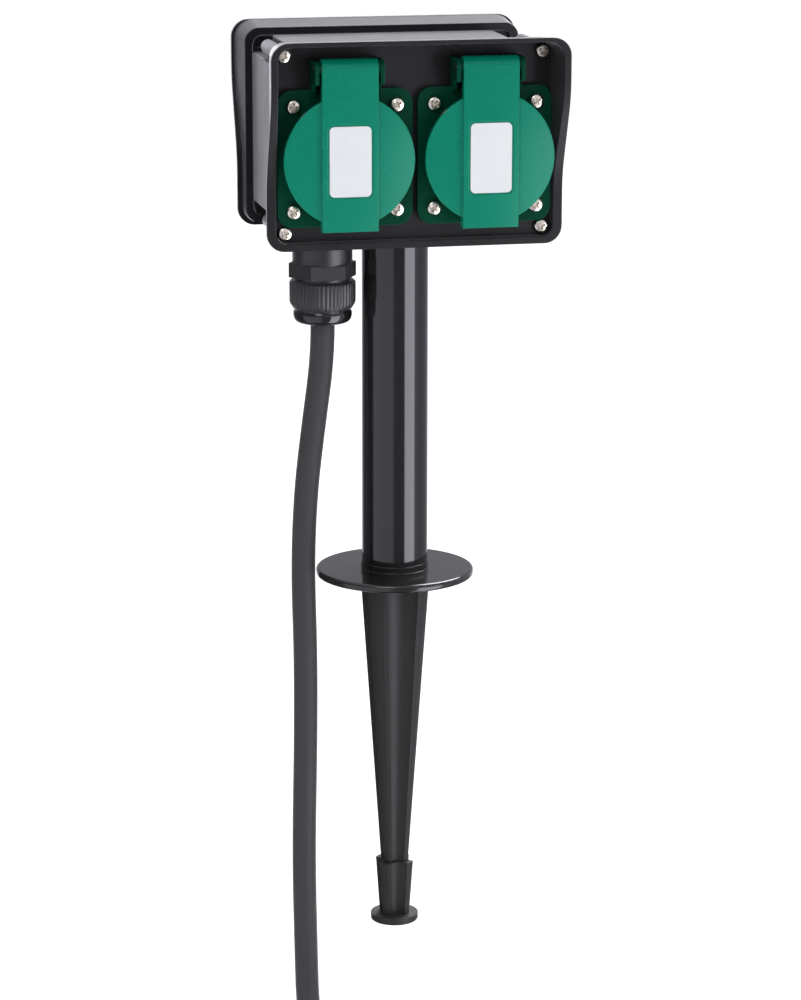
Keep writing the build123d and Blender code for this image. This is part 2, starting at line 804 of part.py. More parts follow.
def timer_dial():
    dial = disk(dial_radius, dial_low, dial_face)
    groove = tappet_length + 0.4
    dial -= ring(tappet_ring + groove / 2, tappet_ring - groove / 2, dial_face - 2.9, dial_face + 1)
    return dial - disk(2.0 + pin_gap, dial_low - 1, dial_face - 0.9)


def dial_cap():
    cap = disk(dial_cap_radius, dial_face, dial_face + dial_cap_height)
    cap = chamfer(cap.edges().sort_by(Axis.Z)[-1], 0.5)
    return cap - Pos(0, 3.4, dial_face + dial_cap_height) * Box(1.2, 5.4, 1.2)


def tappets(pressed):
    """Tappets in the dial's groove; the pressed ones stand a travel lower."""
    low = dial_face - 2.9 + 0.2 + (0 if pressed else tappet_travel)
    pieces = []
    for k in range(tappet_count):
        on = 13 <= k < 22 or 34 <= k < 42
        if on != pressed:
            continue
        angle = 360 / tappet_count * (k + 0.5)
        tappet = Pos(tappet_ring, 0, low + tappet_height / 2) * Box(
            tappet_length, tappet_width, tappet_height)
        pieces.append(Rot(0, 0, angle) * tappet)
    return pieces


def override_switch():
    foot = Pos(0, 0, timer_floor + 0.1) * Box(2.2, 4.4, 2.0)
    head = Pos(0, 0, timer_floor + run_gap + switch_height / 2) * Box(switch_width - 0.6, 4.8, switch_height)
    shift = Pos(switch_x, switch_y - switch_travel / 2, 0)
    return shift * (foot + head)


def timer_cover():
    low = -timer_frame_height / 2 - 2.6
    high = timer_frame_height / 2 - 1.4
    plate = Pos(0, (low + high) / 2, 0) * slab(cover_width, high - low, 4, cover_low, cover_face)
    plate += Pos(0, low + 0.8, cover_face) * Box(cover_tab_width, 1.6, 1.2)
    inner = cover_width - 2 * (cover_ear_inset + cover_ear_width / 2 + run_gap)
    plate += Pos(0, (high - 3 + cover_hinge_y) / 2, cover_axis_z) * Box(
        inner, cover_hinge_y - high + 3, cover_thickness)
    axle = Pos(0, cover_hinge_y, cover_axis_z) * Rot(0, 90, 0)
    plate += axle * Cylinder(cover_barrel_radius, inner)
    return plate - axle * Cylinder(cover_pin_radius + pin_gap, cover_width)


def timer_cover_pin():
    return Pos(0, cover_hinge_y, cover_axis_z) * Rot(0, 90, 0) * Cylinder(
        cover_pin_radius, cover_width - 2 * cover_ear_inset + cover_ear_width)


# Cord, coil and plug

cord_route = [
    (gland_x, nut_mouth_z), (gland_x, 86), (-31.2, 60), (-34.4, 34), (-35.7, 4), (-34.7, -30),
    (-34.9, -66), (-35.9, -110), (-35.2, -150), (-34.4, -182.37),
    (-19.4, -208.35), (6.58, floor_z + cord_radius), (35.1, floor_z + cord_radius)]


def corner_radii(points):
    """Radius of each corner, from its shorter run and its turn."""
    radii = []
    for a, b, c in zip(points, points[1:], points[2:]):
        turn = radians((b - a).get_angle(c - b))
        radii.append(0.45 * min((b - a).length, (c - b).length) / tan(turn / 2))
    return radii


def power_cord():
    points = [Vector(x, 0, z) for x, z in cord_route]
    radii = corner_radii(points)
    print("cord corner radii:", [round(r) for r in radii])
    path = FilletPolyline(*points, radius=radii)
    tube = sweep(Plane(origin=points[0], z_dir=points[1] - points[0]) * Circle(cord_radius), path=path)
    print("cord length", round(path.length, 1), "volume ratio",
          round(tube.volume / (pi * cord_radius ** 2 * path.length), 4))
    return tube, path.length


coil_low = floor_z + cord_radius
coil_high = coil_low + 2 * cord_radius + layer_gap
plug_height = floor_z + plug_radius


def coil_station(quarter):
    """Place and direction of the lead after some quarter turns."""
    pitch = (coil_outer - coil_inner) / coil_turns
    spiral = 4 * coil_turns
    last = 2 * spiral + 2
    if quarter <= spiral:
        radius = coil_outer - pitch * quarter / 4
        drift = -pitch / (2 * pi)
        height = coil_low
    elif quarter < spiral + 2:
        radius = coil_inner - coil_dip
        drift = 0
        height = (coil_low + coil_high) / 2
    else:
        radius = coil_inner + pitch * (quarter - spiral - 2) / 4
        drift = pitch / (2 * pi)
        height = coil_high
    if quarter in (0, spiral, spiral + 2, last):
        drift = 0
    climb = 0
    if quarter == spiral + 1:
        climb = (coil_high - coil_low) / pi
    if quarter == last - 1:
        height += (plug_height - coil_high) / 2
        climb = (plug_height - coil_high) / pi
    if quarter == last:
        height = plug_height
    angle = pi / 2 - quarter * pi / 2
    place = Vector(coil_x + radius * cos(angle), coil_y + radius * sin(angle), height)
    heading = Vector(radius * sin(angle) + drift * cos(angle), -radius * cos(angle) + drift * sin(angle), climb)
    return place, heading.normalized()


def power_cord_coil():
    quarters = int(8 * coil_turns + 2)
    stations = [coil_station(k) for k in range(quarters + 1)]
    start = Vector(cord_route[-1][0], 0, floor_z + cord_radius)
    first = stations[0][0]
    end = stations[-1][0]
    tip = end + stations[-1][1] * cord_lead
    edges = [Edge.make_line(start, first)] + wound_path(stations) + [Edge.make_line(end, tip)]
    print("coil: least gap", round(least_gap(edges, cord_radius, 2 * pi * coil_inner), 2))
    length = sum(edge.length for edge in edges)
    print("coil length", round(length, 1))
    return tube_along(edges, cord_radius), tip, length


def plug_frame(tip):
    """Frame at the plug's cord end, local z along the plug towards its pins."""
    return Plane(origin=tip, x_dir=(0, 1, 0), z_dir=(-1, 0, 0)).location


def plug_body():
    """Straight rubber plug with a tapered cord sleeve and a round face."""
    outline = Polyline(
        (0, 0), (cord_radius + 1.6, 0), (cord_radius + 3.4, plug_sleeve),
        (plug_neck_radius, plug_sleeve + 4), (plug_waist_radius, plug_sleeve + 14),
        (plug_radius, plug_sleeve + 19), (plug_radius, plug_length), (0, plug_length), close=True)
    body = revolve(Plane.XZ * make_face(outline), Axis.Z)
    for side in (-1, 1):
        body -= Pos(0, side * (plug_radius - earth_groove_depth / 2 + 0.1), plug_length - 7) * Box(
            earth_groove_width, earth_groove_depth + 0.2, 14.2)
    for x in (-pin_spacing / 2, pin_spacing / 2):
        body -= Pos(x, 0, 0) * disk(plug_root_radius + pin_gap, plug_length - plug_root_length, plug_length + 1)
    return body


def plug_pins():
    pin = disk(plug_pin_radius, plug_length, plug_length + plug_pin_length)
    pin = chamfer(pin.edges().sort_by(Axis.Z)[-1], plug_pin_chamfer)
    pin += disk(plug_root_radius, plug_length - plug_root_length, plug_length)
    return [Pos(x, 0, 0) * pin for x in (-pin_spacing / 2, pin_spacing / 2)]


def plug_earth_contacts():
    y = plug_radius - earth_groove_depth + earth_leaf_thickness / 2
    leaf = Pos(0, y, plug_length - 7.2) * Box(earth_leaf_width, earth_leaf_thickness, 13.0)
    return [leaf, mirror(leaf, about=Plane.XZ)]


# Write every piece

def save_group(pieces, name, place=None):
    place = place or Location()
    save(Compound(children=[place * piece for piece in pieces]), name)


save(front_shell(), "front_shell")
save(rear_shell(), "rear_shell")
save(shell_gasket(), "shell_gasket")
save_group(shell_screws(), "shell_screws")

flange_screw = Pos(0, 0, flange_top) * pan_screw(screw_radius, flange_top + panel_thickness + 2)
for side, x in zip(("left", "right"), socket_centres()):
    place = front(x, socket_z)
    save(place * socket_body(), f"socket_body_{side}")
    save(place * socket_insert(), f"socket_insert_{side}")
    save(place * socket_gasket(), f"socket_gasket_{side}")
    save_group([Pos(px, py, 0) * flange_screw for px, py in flange_screw_places()],
               f"socket_screws_{side}", place)
    save_group(contact_sleeves(), f"contacts_{side}", place)
    save(place * earth_clip(), f"earth_clip_{side}")
    save(place * lid(), f"lid_{side}")
    save(place * lid_seal(), f"lid_seal_{side}")
    save(place * hinge_pin(), f"hinge_pin_{side}")
    save(place * lid_spring(), f"lid_spring_{side}")
    save(place * label(), f"lid_label_{side}")

save(stem_tube(), "stem_tube")
save(ground_spike(), "ground_spike")
save(tip_cap(), "tip_cap")

gland_place = Pos(gland_x, 0, 0)
save(gland_place * gland_bushing(), "gland_bushing")
save(gland_place * gland_body(), "gland_body")
save(gland_place * gland_locknut(), "gland_locknut")
save(gland_place * gland_seal(), "gland_seal")
save(gland_place * gland_nut(), "gland_nut")
save(cord_inner_end(), "cord_inner_end")
save(terminal_block(), "terminal_block")
save_group(terminal_screws(), "terminal_screws")
save_group(supply_wires(), "supply_wires")

timer_place = rear(0, timer_z)
save(timer_place * timer_body(), "timer_body")
save(timer_place * timer_gasket(), "timer_gasket")
save(timer_place * timer_dial(), "timer_dial")
save(timer_place * dial_cap(), "dial_cap")
save_group(tappets(True), "tappets_on", timer_place)
save_group(tappets(False), "tappets_off", timer_place)
save(timer_place * override_switch(), "override_switch")
save(timer_place * timer_cover(), "timer_cover")
save(timer_place * timer_cover_pin(), "timer_cover_pin")
timer_screw = Pos(0, 0, timer_flange_top) * pan_screw(screw_radius, timer_flange_top + panel_thickness + 2)
save_group([Pos(x, y, 0) * timer_screw for x, y in timer_screw_places()], "timer_screws", timer_place)

cord, cord_length = power_cord()
save(cord, "power_cord")
coil, coil_tip, coil_length = power_cord_coil()
save(coil, "power_cord_coil")
print("lead from gland to plug", round(cord_length + coil_length), "mm")
plug_place = plug_frame(coil_tip)
save(plug_place * plug_body(), "plug_body")
save_group(plug_pins(), "plug_pins", plug_place)
save_group(plug_earth_contacts(), "plug_earth_contacts", plug_place)
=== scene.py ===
# Garden socket spike with timer: the looks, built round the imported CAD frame. Metres.
import math

import bmesh
import bpy
from mathutils import Matrix, Vector


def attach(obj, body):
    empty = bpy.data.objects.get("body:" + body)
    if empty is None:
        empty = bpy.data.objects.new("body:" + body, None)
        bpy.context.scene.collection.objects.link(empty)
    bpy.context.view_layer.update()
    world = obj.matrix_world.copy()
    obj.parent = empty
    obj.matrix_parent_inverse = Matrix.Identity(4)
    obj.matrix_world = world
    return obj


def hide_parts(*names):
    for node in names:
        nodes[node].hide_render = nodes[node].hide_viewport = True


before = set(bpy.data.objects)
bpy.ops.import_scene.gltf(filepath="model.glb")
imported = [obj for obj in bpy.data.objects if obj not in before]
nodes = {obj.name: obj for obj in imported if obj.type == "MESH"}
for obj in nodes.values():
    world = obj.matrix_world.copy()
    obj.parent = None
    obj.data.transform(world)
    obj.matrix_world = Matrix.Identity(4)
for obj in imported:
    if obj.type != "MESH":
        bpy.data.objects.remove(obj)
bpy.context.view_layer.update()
scene = bpy.context.scene
print("frame loaded:", len(nodes), "nodes")


# Camera, at the photograph's place

cameraSettings = {
    "place": (-0.26854, -1.26491, 0.34241),
    "turn": 0.2109,
    "tilt": 0.2379,
    "roll": 0.0012,
    "lens": 125.977,
    "sensor": 36.0,
    "reach": 60.0,
}


def makeCamera(settings):
    data = bpy.data.cameras.new("photoCamera")
    data.sensor_width = settings["sensor"]
    data.lens = settings["lens"]
    data.clip_end = settings["reach"]
    camera = bpy.data.objects.new("photoCamera", data)
    scene.collection.objects.link(camera)
    turn, tilt, roll = settings["turn"], settings["tilt"], settings["roll"]
    forward = Vector((math.sin(turn) * math.cos(tilt), math.cos(turn) * math.cos(tilt),
                      -math.sin(tilt)))
    level = Vector((math.cos(turn), -math.sin(turn), 0))
    upward = level.cross(forward)
    across = level * math.cos(roll) + upward * math.sin(roll)
    tall = upward * math.cos(roll) - level * math.sin(roll)
    matrix = Matrix((across, tall, -forward)).transposed().to_4x4()
    matrix.translation = settings["place"]
    camera.matrix_world = matrix
    scene.camera = camera


makeCamera(cameraSettings)
print("camera set")


# Small helpers for finished pieces

meshSettings = {
    "weld": 0.000001,
    # degrees from which an edge stays sharp
    "sharp": 35,
    "cadSharp": 28,
}


def finishPiece(name, bm, body, material, stands=(), sharp=meshSettings["sharp"]):
    bmesh.ops.remove_doubles(bm, verts=bm.verts, dist=meshSettings["weld"])
    bmesh.ops.recalc_face_normals(bm, faces=bm.faces)
    if bm.calc_volume(signed=True) < 0:
        bmesh.ops.reverse_faces(bm, faces=bm.faces)
    mesh = bpy.data.meshes.new(name)
    bm.to_mesh(mesh)
    bm.free()
    piece = bpy.data.objects.new(name, mesh)
    scene.collection.objects.link(piece)
    mesh.materials.append(materials[material])
    mesh.shade_smooth()
    mesh.set_sharp_from_angle(angle=math.radians(sharp))
    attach(piece, body)
    if stands:
        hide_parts(*stands)
    return piece


def joinRings(bm, first, second):
    # for rings of equal counts, as bridge_loops can fold two that lie in one plane
    return [bm.faces.new((first[k - 1], first[k], second[k], second[k - 1]))
            for k in range(len(first))]


def moveInto(whole, part):
    # adds the part to the whole and frees it
    spare = bpy.data.meshes.new("spare")
    part.to_mesh(spare)
    part.free()
    whole.from_mesh(spare)
    bpy.data.meshes.remove(spare)


# Supply lead: hangs from the gland, then lies coiled under the spike

leadSettings = {
    "diameter": 0.0093,
    "length": 1.502,
    "floor": -0.228,
    # x and z of the hanging part, in the plane y = 0
    "drop": [(-0.0276, 0.0988), (-0.0276, 0.086), (-0.0312, 0.060), (-0.0344, 0.034),
             (-0.0357, 0.004), (-0.0347, -0.030), (-0.0349, -0.066), (-0.0359, -0.110),
             (-0.0352, -0.150), (-0.0344, -0.18237), (-0.0194, -0.20835), (0.00658, -0.22335),
             (0.0351, -0.22335)],
    "coilMiddle": (0.046, -0.058),
    "coilOuter": 0.058,
    "coilInner": 0.0424,
    "layerQuarters": 6,
    "climbQuarters": 2,
    "pointsPerQuarter": 9,
    "dip": 0.0015,          # inward, on the climb
    "layerStep": 0.0098,
    "plugAxis": 0.0188,
    "endRun": 0.045,
    "swell": 1.0038,        # the spline runs inside its points
    "sideSteps": 6,
    "lengthSteps": 5,
}


def eased(share):
    return 0.5 - 0.5 * math.cos(math.pi * share)


def coilPoint(settings, quarter):
    # inward on the ground, up to the second layer, outward again and up to the plug
    layer, climb = settings["layerQuarters"], settings["climbQuarters"]
    spread = settings["coilOuter"] - settings["coilInner"]
    low = settings["floor"] + settings["diameter"] / 2
    high = low + settings["layerStep"]
    plug = settings["floor"] + settings["plugAxis"]
    if quarter <= layer:
        radius = settings["coilOuter"] - spread * quarter / layer
        height = low
    elif quarter <= layer + climb:
        share = (quarter - layer) / climb
        radius = settings["coilInner"] - settings["dip"] * math.sin(math.pi * share)
        height = low + (high - low) * eased(share)
    else:
        out = quarter - layer - climb
        radius = settings["coilInner"] + spread * out / layer
        height = high + (plug - high) * eased(max(0, out - layer + climb) / climb)
    angle = math.pi / 2 - quarter * math.pi / 2
    radius *= settings["swell"]
    x, y = settings["coilMiddle"]
    return (x + radius * math.cos(angle), y + radius * math.sin(angle), height)


def leadPoints(settings):
    points = [(x, 0, z) for x, z in settings["drop"]]
    steps = settings["pointsPerQuarter"]
    last = (2 * settings["layerQuarters"] + settings["climbQuarters"]) * steps
    points += [coilPoint(settings, k / steps) for k in range(last + 1)]
    x, y, z = points[-1]
    points.append((x - settings["endRun"], settings["coilMiddle"][1] - settings["coilOuter"], z))
    return points


def makeLead(settings):
    curve = bpy.data.curves.new("supplyLead", "CURVE")
    curve.dimensions = "3D"
    curve.bevel_depth = 1       # each point's own radius is the lead's, so the bounds come out true
    curve.bevel_resolution = settings["sideSteps"]
    curve.resolution_u = settings["lengthSteps"]
    curve.use_fill_caps = True
    points = leadPoints(settings)
    spline = curve.splines.new("NURBS")
    spline.points.add(len(points) - 1)
    for point, place in zip(spline.points, points):
        point.co = (*place, 1)
        point.radius = settings["diameter"] / 2
    spline.order_u = 3
    spline.use_endpoint_u = True
    lead = bpy.data.objects.new("supplyLead", curve)
    scene.collection.objects.link(lead)
    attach(lead, "spike_box")
    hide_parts("power_cord", "power_cord_coil")
    return lead


supplyLead = makeLead(leadSettings)
print("supply lead laid")


# Shared effects

def addSockets(group, way, kind, names):
    for name in names:
        group.interface.new_socket(name=name, in_out=way, socket_type=kind)


def linkNodes(tree, pairs):
    for start, end in pairs:
        tree.links.new(start, end)


# inputs of the skin, and the value of a finish that each one takes
skinColours = {"Base": "base", "Shade": "shade", "Wear And Highlight Colour": "wearAndHighlightColour"}
skinNumbers = {"Edge Wear And Highlight": "edgeWearAndHighlight", "Roughness": "roughness", "Spread": "spread",
               "Grain": "grain", "Depth": "depth", "Tone Size": "toneSize", "Round": "round",
               "Specks": "specks"}

skinSettings = {
    "grainDetail": 2,
    "toneDetail": 4,
    "toneMiddle": 0.5,
    "dustSize": 1600,
    "dustDetail": 1,
    "dustReach": (0.66, 0.74),
    "edgeReach": (0.995, 0.86),     # how far the flat and the rounded normal agree
    "edgeSamples": 4,
}


def mouldedSkinGroup(settings):
    # fine grain, slow tone changes, dust specks and softened, lighter edges: edge wear, and on the
    # lids also a painted highlight
    group = bpy.data.node_groups.new("mouldedSkin", "ShaderNodeTree")
    addSockets(group, "INPUT", "NodeSocketColor", skinColours)
    addSockets(group, "INPUT", "NodeSocketFloat", [*skinNumbers, "Bulge"])
    addSockets(group, "OUTPUT", "NodeSocketColor", ["Colour"])
    addSockets(group, "OUTPUT", "NodeSocketFloat", ["Roughness"])
    addSockets(group, "OUTPUT", "NodeSocketVector", ["Normal"])
    make = group.nodes.new
    given = make("NodeGroupInput")
    out = make("NodeGroupOutput")
    where = make("ShaderNodeTexCoord")

    def noise(detail):
        texture = make("ShaderNodeTexNoise")
        texture.inputs["Detail"].default_value = detail
        return texture

    def share(reach):
        step = make("ShaderNodeMapRange")
        step.inputs["From Min"].default_value = reach[0]
        step.inputs["From Max"].default_value = reach[1]
        return step

    def calculate(operation, clamped=False):
        step = make("ShaderNodeMath")
        step.operation = operation
        step.use_clamp = clamped
        return step

    def blend():
        mix = make("ShaderNodeMix")
        mix.data_type = "RGBA"
        return mix

    grain = noise(settings["grainDetail"])
    tone = noise(settings["toneDetail"])
    dust = noise(settings["dustDetail"])
    dust.inputs["Scale"].default_value = settings["dustSize"]
    speck = share(settings["dustReach"])
    mask = share(settings["edgeReach"])
    speckShare = calculate("MULTIPLY")
    either = calculate("MAXIMUM")
    uneven = calculate("MULTIPLY")
    # edges lightened as wear, and on the lids also as a painted highlight
    edgeWearAndHighlightShare = calculate("MULTIPLY", clamped=True)
    centred = calculate("SUBTRACT")
    centred.inputs[1].default_value = settings["toneMiddle"]
    wide = calculate("MULTIPLY")
    total = calculate("ADD", clamped=True)
    mixTone, mixWearAndHighlight = blend(), blend()
    edge = make("ShaderNodeBevel")
    edge.samples = settings["edgeSamples"]
    bump = make("ShaderNodeBump")
    bump.inputs["Strength"].default_value = 1
    bulge = make("ShaderNodeBump")
    bulge.inputs["Strength"].default_value = 1
    bulge.inputs["Distance"].default_value = 1
    surface = make("ShaderNodeNewGeometry")
    bend = make("ShaderNodeVectorMath")
    bend.operation = "DOT_PRODUCT"
    linkNodes(group, [
        (where.outputs["Object"], grain.inputs["Vector"]),
        (where.outputs["Object"], tone.inputs["Vector"]),
        (given.outputs["Grain"], grain.inputs["Scale"]),
        (given.outputs["Tone Size"], tone.inputs["Scale"]),
        (given.outputs["Round"], edge.inputs["Radius"]),
        (grain.outputs["Fac"], bump.inputs["Height"]),
        (given.outputs["Depth"], bump.inputs["Distance"]),
        (given.outputs["Bulge"], bulge.inputs["Height"]),
        (edge.outputs["Normal"], bulge.inputs["Normal"]),
        (bulge.outputs["Normal"], bump.inputs["Normal"]),
        (bump.outputs["Normal"], out.inputs["Normal"]),
        (edge.outputs["Normal"], bend.inputs[0]),
        (surface.outputs["Normal"], bend.inputs[1]),
        (bend.outputs["Value"], mask.inputs["Value"]),
        (tone.outputs["Fac"], uneven.inputs[0]),
        (mask.outputs["Result"], uneven.inputs[1]),
        (uneven.outputs["Value"], edgeWearAndHighlightShare.inputs[0]),
        (given.outputs["Edge Wear And Highlight"], edgeWearAndHighlightShare.inputs[1]),
        (tone.outputs["Fac"], mixTone.inputs["Factor"]),
        (given.outputs["Shade"], mixTone.inputs["A"]),
        (given.outputs["Base"], mixTone.inputs["B"]),
        (where.outputs["Object"], dust.inputs["Vector"]),
        (dust.outputs["Fac"], speck.inputs["Value"]),
        (speck.outputs["Result"], speckShare.inputs[0]),
        (given.outputs["Specks"], speckShare.inputs[1]),
        (speckShare.outputs["Value"], either.inputs[0]),
        (edgeWearAndHighlightShare.outputs["Value"], either.inputs[1]),
        (either.outputs["Value"], mixWearAndHighlight.inputs["Factor"]),
        (mixTone.outputs["Result"], mixWearAndHighlight.inputs["A"]),
        (given.outputs["Wear And Highlight Colour"], mixWearAndHighlight.inputs["B"]),
        (mixWearAndHighlight.outputs["Result"], out.inputs["Colour"]),
        (tone.outputs["Fac"], centred.inputs[0]),
        (centred.outputs["Value"], wide.inputs[0]),
        (given.outputs["Spread"], wide.inputs[1]),
        (wide.outputs["Value"], total.inputs[0]),
        (given.outputs["Roughness"], total.inputs[1]),
        (total.outputs["Value"], out.inputs["Roughness"]),
    ])
    return group


mouldedSkin = mouldedSkinGroup(skinSettings)

bulgeSettings = {
    "middle": 0.0014,
    "offset": 0.0259,
    "height": 0.1646,
    "fall": 2.8,        # times the square of the distance from a lid's middle
}


def lidBulgeGroup(settings):
    # height of a shallow dome over each lid, both lids folded onto one
    group = bpy.data.node_groups.new("lidBulge", "ShaderNodeTree")
    addSockets(group, "OUTPUT", "NodeSocketFloat", ["Height"])
    make = group.nodes.new
    out = make("NodeGroupOutput")
    where = make("ShaderNodeTexCoord")
    parts = make("ShaderNodeSeparateXYZ")
    group.links.new(where.outputs["Object"], parts.inputs[0])
    source = {"x": parts.outputs["X"], "z": parts.outputs["Z"]}
    for name, operation, first, second in (
            ("side", "SUBTRACT", "x", settings["middle"]),
            ("folded", "ABSOLUTE", "side", 0),
            ("across", "SUBTRACT", "folded", settings["offset"]),
            ("up", "SUBTRACT", "z", settings["height"]),
            ("acrossSquare", "MULTIPLY", "across", "across"),
            ("upSquare", "MULTIPLY", "up", "up"),
            ("reach", "ADD", "acrossSquare", "upSquare"),
            ("fall", "MULTIPLY", "reach", -settings["fall"])):
        step = make("ShaderNodeMath")
        step.operation = operation
        group.links.new(source[first], step.inputs[0])
        if second in source:
            group.links.new(source[second], step.inputs[1])
        else:
            step.inputs[1].default_value = second
        source[name] = step.outputs["Value"]
    group.links.new(source["fall"], out.inputs["Height"])
    return group


lidBulge = lidBulgeGroup(bulgeSettings)

# what a finish has unless it says otherwise
finishDefaults = {"metallic": 0, "ior": 1.46, "level": 0.5, "sheen": 0, "sheenSpread": 0.35,
                  "sheenTint": (0.93, 0.92, 1.0), "specks": 0, "bulge": False}

